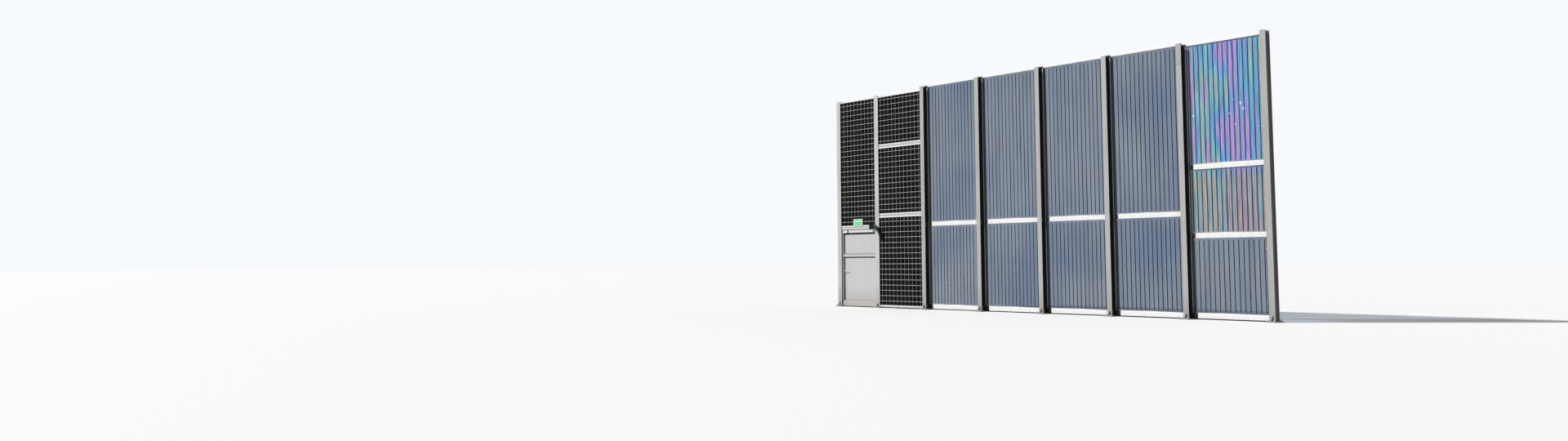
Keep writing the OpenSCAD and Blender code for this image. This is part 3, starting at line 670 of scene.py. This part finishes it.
# Box and tube over the door
# A small dark plastic housing, screwed to the foot of the panel over the door, with a bent black tube that
# runs from its end over the post to the next panel. What they serve can't be made out.
BOX_LOW, BOX_HIGH = np.array([-2.105, -0.150, 2.250]), np.array([-1.905, -FRAME_FACE_Y - 0.0003, 2.382])
BOX_CORNER, BOX_EDGE, BOX_END = 0.014, 0.006, 0.003
TUBE_R = 0.044
TUBE_LINE = [(-1.930, -0.118, 2.316), (-1.865, -0.132, 2.314), (-1.805, -0.136, 2.292),
             (-1.750, -0.136, 2.234), (-1.700, -0.136, 2.168), (-1.662, -0.136, 2.105),
             (-1.648, -0.130, 2.045), (-1.646, -0.104, 2.012), (-1.646, -0.0705, 2.004)]


def housing(low, high, corner, edge, steps=5):
    """A box with rounded corners, lying along Y: at each step back from the front its outline is a rectangle
    whose corners are arcs, drawn in by the edge times 1 minus the sine of the way round the front edge."""
    quarter = np.repeat(np.arange(4), steps)
    a = (np.arange(4 * steps) - quarter) * (math.pi / 2) / (steps - 1)
    middle, half = (low + high) / 2, (high - low) / 2
    cx, cz = np.array([1, -1, -1, 1])[quarter], np.array([1, 1, -1, -1])[quarter]
    turn = np.append(np.linspace(0, math.pi / 2, 4), math.pi / 2)
    y = np.append(low[1] + edge * (1 - np.cos(turn[:-1])), high[1])
    r = corner - edge * (1 - np.sin(turn))[:, None]
    x = middle[0] + cx * (half[0] - corner) + r * np.cos(a)
    z = middle[2] + cz * (half[2] - corner) + r * np.sin(a)
    points = np.stack([x, y[:, None] + 0 * x, z], axis=-1).reshape(-1, 3)
    return points, flipped(skin(len(y), 4 * steps))


def hose(corners, radius, across, sides=16):
    """A round tube whose line is a bent one with its corners cut by quarters three times over. Around each
    point of that line lies a circle, square to the way the line runs. across is never along the line."""
    line = np.asarray(corners, float)
    for _ in range(3):
        cut = np.stack([0.75 * line[:-1] + 0.25 * line[1:], 0.25 * line[:-1] + 0.75 * line[1:]], axis=1)
        line = np.concatenate([line[:1], cut.reshape(-1, 3), line[-1:]])
    ahead = np.gradient(line, axis=0)
    ahead /= np.linalg.norm(ahead, axis=1, keepdims=True)
    side = np.cross(ahead, across)
    side /= np.linalg.norm(side, axis=1, keepdims=True)
    up = np.cross(ahead, side)
    a = np.arange(sides) * 2 * math.pi / sides
    points = line[:, None] + radius * (np.cos(a)[:, None] * side[:, None] + np.sin(a)[:, None] * up[:, None])
    return points.reshape(-1, 3), skin(len(line), sides)


PLASTIC = {"amount": 0.15, "scale": 20, "rough": 0.50, "grain": 300, "depth": 0.05}
dark_plastic = finish("dark_green_plastic", (0.0012, 0.011, 0.0065), grime=(0.012, 0.02, 0.014), gloss=0.05,
                      **PLASTIC)
tree = dark_plastic.node_tree
paint_over(dark_plastic, (0.006, 0.045, 0.03), within(tree, "X", BOX_LOW[0] + 0.040, 0.012),
           within(tree, "Z", (BOX_LOW[2] + BOX_HIGH[2]) / 2, 0.040))
paint_over(dark_plastic, (0.26, 0.33, 0.31),
           calc(tree, "GREATER_THAN", place(tree, "X"), BOX_HIGH[0] - BOX_END))
piece("door_box", housing(BOX_LOW, BOX_HIGH, BOX_CORNER, BOX_EDGE), dark_plastic)
tube_plastic = finish("black_tube_plastic", (0.0035, 0.0045, 0.0085), grime=(0.03, 0.03, 0.03), gloss=0.15,
                      **PLASTIC)
piece("door_tube", hose(TUBE_LINE, TUBE_R, (0.7, 0.0, 0.7)), tube_plastic, smooth=True)

# Rails and clamps
# Extruded aluminium rails with a bright cover clipped on in front, which stops short of the posts. Inside the
# channels the rail ends and the steel angles that clamp the sheets are painted black, as painted shade.
BAYS = ["clear_1", "clear_2", "clear_3", "clear_4", "film"]
CLEAR_BAYS = BAYS[:4]
bay_x = dict(zip(BAYS, post_x[2:7]))
BAY = 2.0
COVER_LEFT, COVER_RIGHT, CAP_COVER = 0.220, 1.875, 0.125
CAP_TOP, FILM_CAP_DROP, CAP_LIP, CAP_ZONE = 6.185, 0.045, 0.013, 6.0
CHANNEL_SHADE = (0.016, 0.015, 0.016)
# Openings of each bay, from the top of one rail to the bottom of the next, and the middles of its rails
OPENINGS = {bay: [(0.135, 2.275), (2.385, 6.125)] for bay in CLEAR_BAYS}
OPENINGS["film"] = [(0.135, 1.780), (1.890, 3.300), (3.410, 6.080)]
RAILS = {bay: [0.080, 2.330] for bay in CLEAR_BAYS} | {"film": [0.080, 1.835, 3.355]}
rail_metal = finish("rail_aluminium", (0.82, 0.82, 0.82), grime=(0.42, 0.41, 0.39), amount=0.12, scale=9,
                    rough=0.34, metal=0.2, grain=500, depth=0.04)
tree = rail_metal.node_tree


def beside_cover(start, end):
    """Mask of what lies outside a cover, which runs from its start to its end in every bay."""
    in_bay = calc(tree, "MODULO", place(tree, "X"), BAY)
    on_cover = calc(tree, "COMPARE", in_bay, (start + end) / 2, (end - start) / 2 + HAIR)
    return calc(tree, "SUBTRACT", 1, on_cover)


in_film_bay = calc(tree, "GREATER_THAN", place(tree, "X"), bay_x["film"])
up = calc(tree, "ADD", place(tree, "Z"), times(tree, in_film_bay, FILM_CAP_DROP))
on_cap = calc(tree, "GREATER_THAN", up, CAP_ZONE)
under_lip = calc(tree, "LESS_THAN", up, CAP_TOP - CAP_LIP)
rail_end = times(tree, beside_cover(COVER_LEFT, COVER_RIGHT), calc(tree, "SUBTRACT", 1, on_cap))
cap_end = times(tree, beside_cover(CAP_COVER, BAY - CAP_COVER), on_cap, under_lip)
road_side = calc(tree, "LESS_THAN", place(tree, "Y"), CHANNEL_WALL - HAIR)
# Painted shade: rail and cap ends beside the posts are painted black, all but the top lip of each cap end
paint_over(rail_metal, CHANNEL_SHADE, calc(tree, "ADD", rail_end, cap_end), road_side)
dress([f"{bay}_rails" for bay in BAYS], rail_metal)
soften([f"{bay}_rails" for bay in BAYS], 0.0012)

# Clamp bolts and cover screws
# Hexagon bolts fix each angle to the post's web, about every 0.45 m, and small round screws fix each cover to
# its rail. The bolts are black like the angles, as painted shade in the channels.
# The same for one that looks along the wall, to the right (1) or to the left (-1)
SIDEWAYS = {1: [[0, 0, 1], [0, 1, 0], [-1, 0, 0]], -1: [[0, 0, -1], [0, 1, 0], [1, 0, 0]]}
CLAMP_FACE, BOLT_Y, BOLT_END, BOLT_PITCH = 0.009, 0.012, 0.12, 0.45
SCREW_FIRST, SCREW_LAST, COVER_SCREWS, COVER_FACE = 0.28, 1.80, 6, 0.026
black_steel = finish("black_steel", (0.045, 0.045, 0.048), grime=(0.15, 0.14, 0.13), amount=0.35, scale=30,
                     rough=0.45, metal=0.4, grain=200)
bolt_head = turned([(0.0085, 0.0), (0.0095, 0.0008), (0.0095, 0.0060), (0.0082, 0.0072)], 6, 0.2)
bolts, screws = [], []
for bay, x in bay_x.items():
    for low, high in OPENINGS[bay]:
        heights = np.linspace(low + BOLT_END, high - BOLT_END, int((high - low) / BOLT_PITCH) + 1)
        for s, at in ((1, x + CLAMP_FACE), (-1, x + BAY - CLAMP_FACE)):
            bolts.append(repeated(bolt_head, [[at, BOLT_Y, z] for z in heights], SIDEWAYS[s]))
    along = np.linspace(x + SCREW_FIRST, x + SCREW_LAST, COVER_SCREWS)
    spots = [[a, COVER_FACE, z] for a in along for z in RAILS[bay]]
    screws.append(repeated(dome(0.0055, 0.0022), spots, FACING[-1]))
piece("clamp_bolts", together(*bolts), black_steel)
piece("cover_screws", together(*screws), zinc, smooth=True)

# Glazing beads
# Half-round aluminium beads, pressed on the lip of the rubber beside each clamp and along the top edge of
# each rail, where they close the joint between metal and sheet. They are left bright.
BEAD_X, BEAD_HALF, BEAD_RISE, BEAD_GAP = 0.094, 0.008, 0.005, 0.004
RAIL_BEAD_X = BEAD_X + 0.009
LEVEL_LEFT, LEVEL_RIGHT, LEVEL_RISE = 0.155, 0.110, 0.009
RUBBER_FACE, SHEET_FACE = 0.046, 0.052
RAIL_FACE, RAIL_HALF = 0.034, 0.055
bead_metal = finish("bead_aluminium", (0.55, 0.55, 0.56), grime=(0.25, 0.24, 0.22), amount=0.25, scale=20,
                    rough=0.40, metal=0.2, grain=500, depth=0.05)


def road_bead(start, end, rise=BEAD_RISE):
    """A bead that looks towards the road."""
    return half_round(start, end, BEAD_HALF, rise, (0, -1, 0))


beads = []
for bay, x in bay_x.items():
    for low, high in OPENINGS[bay]:
        for at in (x + BEAD_X, x + BAY - BEAD_X):
            beads.append(road_bead((at, RUBBER_FACE, low + BEAD_GAP), (at, RUBBER_FACE, high - BEAD_GAP)))
        left, right, up = x + LEVEL_LEFT, x + BAY - LEVEL_RIGHT, low + BEAD_HALF
        beads.append(road_bead((left, SHEET_FACE, up), (right, SHEET_FACE, up), LEVEL_RISE))
    for middle in RAILS[bay][1:]:
        for at in (x + RAIL_BEAD_X, x + BAY - RAIL_BEAD_X):
            beads.append(road_bead((at, RAIL_FACE, middle - RAIL_HALF), (at, RAIL_FACE, middle + RAIL_HALF)))
piece("glazing_beads", together(*beads), bead_metal, smooth=True)

# Edge clips
# Spring clips of bright zinc, pushed on the left edge of the last post's front flange at about every half
# metre after the film bay is closed.
CLIP_HALF, CLIP_RISE, CLIP_LENGTH = 0.0085, 0.013, 0.030
CLIPS, FIRST_CLIP, CLIP_PITCH = 8, 1.53, 0.515
clip_x = post_x[-1] - flange_half[-1]
clip_y = -(FLANGE_FACE + CHANNEL_WALL) / 2
clips = [half_round((clip_x, clip_y, z - CLIP_LENGTH / 2), (clip_x, clip_y, z + CLIP_LENGTH / 2), CLIP_HALF,
                    CLIP_RISE, (-1, 0, 0))
         for z in FIRST_CLIP + CLIP_PITCH * np.arange(CLIPS)]
clip_zinc = finish("clip_zinc", (0.86, 0.86, 0.85), amount=0.15, rough=0.35, metal=0.2, grain=120, depth=0.1)
piece("edge_clips", together(*clips), clip_zinc, smooth=True)

# Rubber channels and ground seals
# Extruded black rubber round the upright edges of the sheets, squeezed by the clamps, and rubber strips that
# close the wall to the ground between the feet.
dress([f"{bay}_gaskets" for bay in BAYS] + ["seals"], rubber)

# Clear sheets
# Cast acrylic, 20 mm thick and smoky, lowered into the grooves and the rubber. Dust lies over it in faint
# runs, and painted shade darkens it where it meets the rubber, in the shade of the posts' flanges.
SMOKE, DEEP_SMOKE = (0.25, 0.295, 0.365), (0.135, 0.195, 0.315)
SHEET_DUST, MARGIN_SHADE = (0.16, 0.19, 0.23), (0.02, 0.02, 0.022)
SHADOW_TINT = (0.50, 0.54, 0.58, 1)

# Margin: painted shade beside the posts, where their flanges shade the sheets, strong up to the near distance
# from a post's centre and none past the far one
MARGIN, given, made = effect("margin", {"Near": "Float", "Far": "Float"}, {"Mask": "Float"})
from_post = calc(MARGIN, "PINGPONG", place(MARGIN, "X"), BAY / 2)
MARGIN.links.new(remap(MARGIN, from_post, given["Near"], given["Far"], 0.9, 0.0), made["Mask"])

acrylic, shader = blank("smoky_acrylic", {"Transmission Weight": 0.85, "IOR": 1.49, "Roughness": 0.02})
tree = acrylic.node_tree
worn = use(tree, WEATHER, Color=(*SMOKE, 1), Grime=(*SHEET_DUST, 1), Amount=0.75, Scale=9.0)
tree.links.new(worn["Color"], shader.inputs["Base Color"])
paint_over(acrylic, DEEP_SMOKE, remap(tree, noise(tree, (0.45, 0, 0.36), 1, 3), 0.45, 0.66, 0, 0.75))
lay_over(acrylic, MARGIN, MARGIN_SHADE, Near=0.150, Far=0.172)
# Rays from lamps pass straight through, tinted, so that the sheets cast a faint shadow
ray = node(tree, "LightPath").outputs["Is Shadow Ray"]
through = node(tree, "BsdfTransparent", {"Color": SHADOW_TINT})
mixed = node(tree, "MixShader", {0: ray, 1: shader.outputs[0], 2: through.outputs[0]})
tree.links.new(mixed.outputs[0], tree.nodes["Material Output"].inputs["Surface"])
dress([f"{bay}_sheets" for bay in CLEAR_BAYS] + ["film_sheet_low"], acrylic)

# Film sheets
# The same acrylic behind a laminated rainbow film, strong on the top sheet and faint on the middle one. The
# film splits the light into upright bands between the strips, and rows of fine creases in it sparkle, as
# painted highlights.
STRIP_FIRST, STRIP_PITCH = 0.170, 0.117
LOWER_RAIL, UPPER_RAIL = RAILS["film"][1:]
GLINTS_Z, GLINTS_HALF = 4.62, 0.42
EDGE_X, EDGE_HALF = bay_x["film"] + 0.137, 0.005
FILM_MARGIN_SHADE, FILM_EDGE, SPARKLE = (0.025, 0.04, 0.06), (0.42, 0.47, 0.52), (0.84, 0.90, 1.0, 1)
HUES = [(0.31, 0.2, 0.55), (0.33, 0.28, 0.53), (0.18, 0.24, 0.57), (0.09, 0.3, 0.55), (0.14, 0.37, 0.42),
        (0.25, 0.39, 0.35), (0.22, 0.31, 0.48), (0.37, 0.27, 0.48)]
PASTELS = [(0.27, 0.22, 0.33), (0.3, 0.29, 0.33), (0.25, 0.27, 0.34), (0.15, 0.33, 0.4), (0.33, 0.33, 0.28),
           (0.4, 0.29, 0.22), (0.3, 0.27, 0.29)]
FILM, given, made = effect("rainbow", {"Pale": "Float", "Seed": "Float"},
                              {"Color": "Color", "Normal": "Vector"})
x, z = place(FILM, "X"), place(FILM, "Z")


def reckon(operation, *values):
    """A Math node of the film."""
    return calc(FILM, operation, *values)


def veil(sx, sz, detail):
    """Soft noise over the film, with sx and sz waves to a metre along the wall and up it."""
    return node(FILM, "TexNoise", {"Vector": stretched(FILM, sx, 0, sz), "W": given["Seed"], "Scale": 1,
                                      "Detail": detail}, noise_dimensions="4D").outputs[0]


def cells(sx, sz):
    """Voronoi cells over the film, sx and sz of them to a metre along the wall and up it."""
    return node(FILM, "TexVoronoi", {"Vector": stretched(FILM, sx, 0, sz), "Scale": 1}).outputs


def chance(value):
    """An even random number from 0 to 1 for each whole number."""
    return node(FILM, "TexWhiteNoise", {"W": reckon("ADD", reckon("FLOOR", value), given["Seed"])},
                noise_dimensions="1D").outputs["Value"]


def colours_of(hue, colours):
    """A ring of colours, evenly spaced, read at a hue from 0 to 1."""
    made = node(FILM, "ValToRGB", {0: hue})
    stops = made.color_ramp.elements
    for k, colour in enumerate(colours + colours[:1]):
        stop = stops[k] if k < 2 else stops.new(1.0)
        stop.position, stop.color = k / len(colours), (*colour, 1)
    return made.outputs[0]


# Bands: the hue drifts along the wall and up it, and jumps from each lane between strips to the next
lanes = reckon("DIVIDE", reckon("SUBTRACT", x, bay_x["film"] + STRIP_FIRST), STRIP_PITCH)
band = veil(26, 0.9, 1)
wave = reckon("MULTIPLY_ADD", reckon("COSINE", reckon("MULTIPLY_ADD", lanes, 0.37, -0.37)), 0.24, -1.30)
drift = reckon("MULTIPLY_ADD", veil(0.9, 0.55, 1), 1.9, wave)
jump = reckon("MULTIPLY_ADD", chance(lanes), 0.40, times(FILM, band, 1.1))
hue = reckon("FRACT", reckon("ADD", drift, jump))
# Shade: finer bands of light and dark, and a darker line beside each strip
to_strip = reckon("PINGPONG", lanes, 0.5)
shade = times(FILM, remap(FILM, veil(50, 1.4, 2), 0.30, 0.70, 0.60, 1.45),
              remap(FILM, to_strip, 0.08, 0.20, 0.55, 1.08))
# The pale film turns strong above a ragged line below the upper rail
fringe = reckon("MULTIPLY_ADD", veil(7, 3, 1), 0.40, UPPER_RAIL - 0.47)
strong = remap(FILM, reckon("SUBTRACT", z, fringe), 0, 0.14, 0, 0.85)
pale = times(FILM, given["Pale"], reckon("SUBTRACT", 1, strong))
film = scaled(FILM, blend(FILM, pale, colours_of(hue, HUES), colours_of(hue, PASTELS)), shade)
# Creases: painted highlights in dotted rows up the film, where fine creases catch the light, and a few larger
# painted glints at mid height of the top sheet
grains = cells(95, 55)
own = node(FILM, "SeparateXYZ", {0: grains["Color"]}).outputs[0]
grain_size = reckon("MULTIPLY_ADD", own, 0.80, -0.12)
ragged = times(FILM, veil(310, 190, 3), 0.55)
rows = times(FILM, reckon("GREATER_THAN", chance(times(FILM, x, 22)), 0.78),
             reckon("GREATER_THAN", veil(2.6, 2.2, 1), 0.53))
dots = times(FILM, rows, reckon("LESS_THAN", reckon("ADD", grains["Distance"], ragged), grain_size))
broken = reckon("ADD", cells(4.2, 2.6)["Distance"], times(FILM, veil(40, 22, 2), 0.22))
glints = times(FILM, reckon("LESS_THAN", broken, 0.185), reckon("COMPARE", z, GLINTS_Z, GLINTS_HALF))
painted_highlights = reckon("MAXIMUM", times(FILM, dots, 0.75), times(FILM, glints, 0.95))
FILM.links.new(blend(FILM, painted_highlights, film, SPARKLE), made["Color"])
ripple = node(FILM, "Bump", {"Strength": 0.25, "Distance": 0.004, "Height": band})
FILM.links.new(ripple.outputs[0], made["Normal"])


def filmed(name, pale, alpha, seed):
    """Rainbow film over acrylic: glossy, coloured, partly clear, and darkened beside the posts by painted shade,
    with a pale line where the film ends at the left."""
    material, shader = blank(name, {"Roughness": 0.16, "Alpha": alpha})
    tree = material.node_tree
    film = use(tree, FILM, Pale=pale, Seed=seed)
    tree.links.new(film["Color"], shader.inputs["Base Color"])
    tree.links.new(film["Normal"], shader.inputs["Normal"])
    # Painted shade beside the posts, where their flanges shade the film
    lay_over(material, MARGIN, FILM_MARGIN_SHADE, Near=0.118, Far=0.138)
    paint_over(material, FILM_EDGE, within(tree, "X", EDGE_X, EDGE_HALF), 0.7)
    return material


dress(["film_sheet_top"], filmed("rainbow_film", 0.0, 0.95, 3.0))
dress(["film_sheet_mid"], filmed("pale_rainbow_film", 1.0, 0.80, 11.0))

# Strips
# Matt black self-adhesive strips, 20 mm wide, on the road side of every sheet, so that birds see it. The
# rainbow film over the strips of the last bay gives them a blue gloss.
TAPE, BLUE_TAPE, BRIGHT_BLUE_TAPE = (0.008, 0.008, 0.009), (0.01, 0.022, 0.05), (0.01, 0.04, 0.12)
tape = finish("black_tape", TAPE, grime=(0.03, 0.03, 0.03), amount=0.2, rough=0.6, grain=700, depth=0.05,
              gloss=0.06)
blue_tape = finish("filmed_tape", TAPE, grime=(0.02, 0.03, 0.05), amount=0.2, rough=0.35, grain=700,
                   depth=0.05, gloss=0.15)
tree = blue_tape.node_tree
for rail, colour in ((LOWER_RAIL, BLUE_TAPE), (UPPER_RAIL, BRIGHT_BLUE_TAPE)):
    paint_over(blue_tape, colour, calc(tree, "GREATER_THAN", place(tree, "Z"), rail))
dress([f"{bay}_strips" for bay in CLEAR_BAYS], tape)
dress(["film_strips"], blue_tape)

# Stage
# A plain pale floor, a pale sky that shows only where nothing stands, one soft key lamp from the upper left
# of the road side, and the camera where the photograph was taken.
scene = bpy.context.scene


def seen(tree):
    """1 for rays that come from the camera or by way of a glossy or clear surface, and 0 for the others."""
    path = node(tree, "LightPath").outputs
    return chain(tree, "MAXIMUM", [path["Is Camera Ray"], path["Is Glossy Ray"], path["Is Transmission Ray"]])


world = bpy.data.worlds.new("studio")
scene.world = world
world.use_nodes = True
sky = world.node_tree
sky.nodes.clear()
fill = node(sky, "Background", {"Color": (0.93, 0.96, 1.0, 1), "Strength": 0.36})
shown = node(sky, "Background", {"Color": (0.93, 0.95, 0.98, 1), "Strength": 1.0})
both = node(sky, "MixShader", {0: seen(sky), 1: fill.outputs[0], 2: shown.outputs[0]})
node(sky, "OutputWorld", {"Surface": both.outputs[0]})


def aim(made, forward, up):
    """Turns a lamp or camera so that it looks along forward, with up as near as can be."""
    f = np.asarray(forward, float) / np.linalg.norm(forward)
    r = np.cross(f, up)
    r /= np.linalg.norm(r)
    u = np.cross(r, f)
    made.rotation_mode = "QUATERNION"
    made.rotation_quaternion = Matrix(np.stack([r, u, -f], axis=-1).tolist()).to_quaternion()


sun = bpy.data.lights.new("key", "SUN")
sun.energy = 4.2
sun.angle = math.radians(3)
sun.color = (1.0, 0.985, 0.96)
key = bpy.data.objects.new("key", sun)
scene.collection.objects.link(key)
aim(key, (1.0, 1.0, -1.3), (0, 0, 1))

FLOOR_HALF = 400.0
floor_mesh = bpy.data.meshes.new("floor")
floor_corners = [(x * FLOOR_HALF, y * FLOOR_HALF, 0) for x, y in ((-1, -1), (1, -1), (1, 1), (-1, 1))]
floor_mesh.from_pydata(floor_corners, [], [(0, 1, 2, 3)])
ground, shader = blank("pale_floor", {"Roughness": 0.9})
tree = ground.node_tree
floor_colour = blend(tree, seen(tree), (0.35, 0.35, 0.35, 1), (0.74, 0.74, 0.74, 1))
tree.links.new(floor_colour, shader.inputs["Base Color"])
floor_mesh.materials.append(ground)
floor = bpy.data.objects.new("floor", floor_mesh)
scene.collection.objects.link(floor)

YAW, PITCH_UP, ROLL = 0.888686, 0.073587, -0.005866
EYE = (22.685, -23.440, 1.30)
FOCAL_PX, WIDTH_PX, MIDDLE_Y_PX = 1440.0, 1920.0, 270.0
CENTRE_X_PX, CENTRE_Y_PX = 959.58, 215.47
SENSOR_MM = 36.0
lens = bpy.data.cameras.new("camera")
lens.sensor_width = SENSOR_MM
lens.lens = SENSOR_MM * FOCAL_PX / WIDTH_PX
lens.shift_x = (WIDTH_PX / 2 - CENTRE_X_PX) / WIDTH_PX
lens.shift_y = (CENTRE_Y_PX - MIDDLE_Y_PX) / WIDTH_PX
lens.clip_end = 2000.0
camera = bpy.data.objects.new("camera", lens)
scene.collection.objects.link(camera)
camera.location = EYE
level = np.array([math.cos(YAW), math.sin(YAW), 0.0])
ahead = np.cross([0, 0, 1], level) * math.cos(PITCH_UP) + [0, 0, math.sin(PITCH_UP)]
aim(camera, ahead, np.cross(level, ahead) * math.cos(ROLL) - level * math.sin(ROLL))
scene.camera = camera
scene.view_settings.view_transform = "Standard"
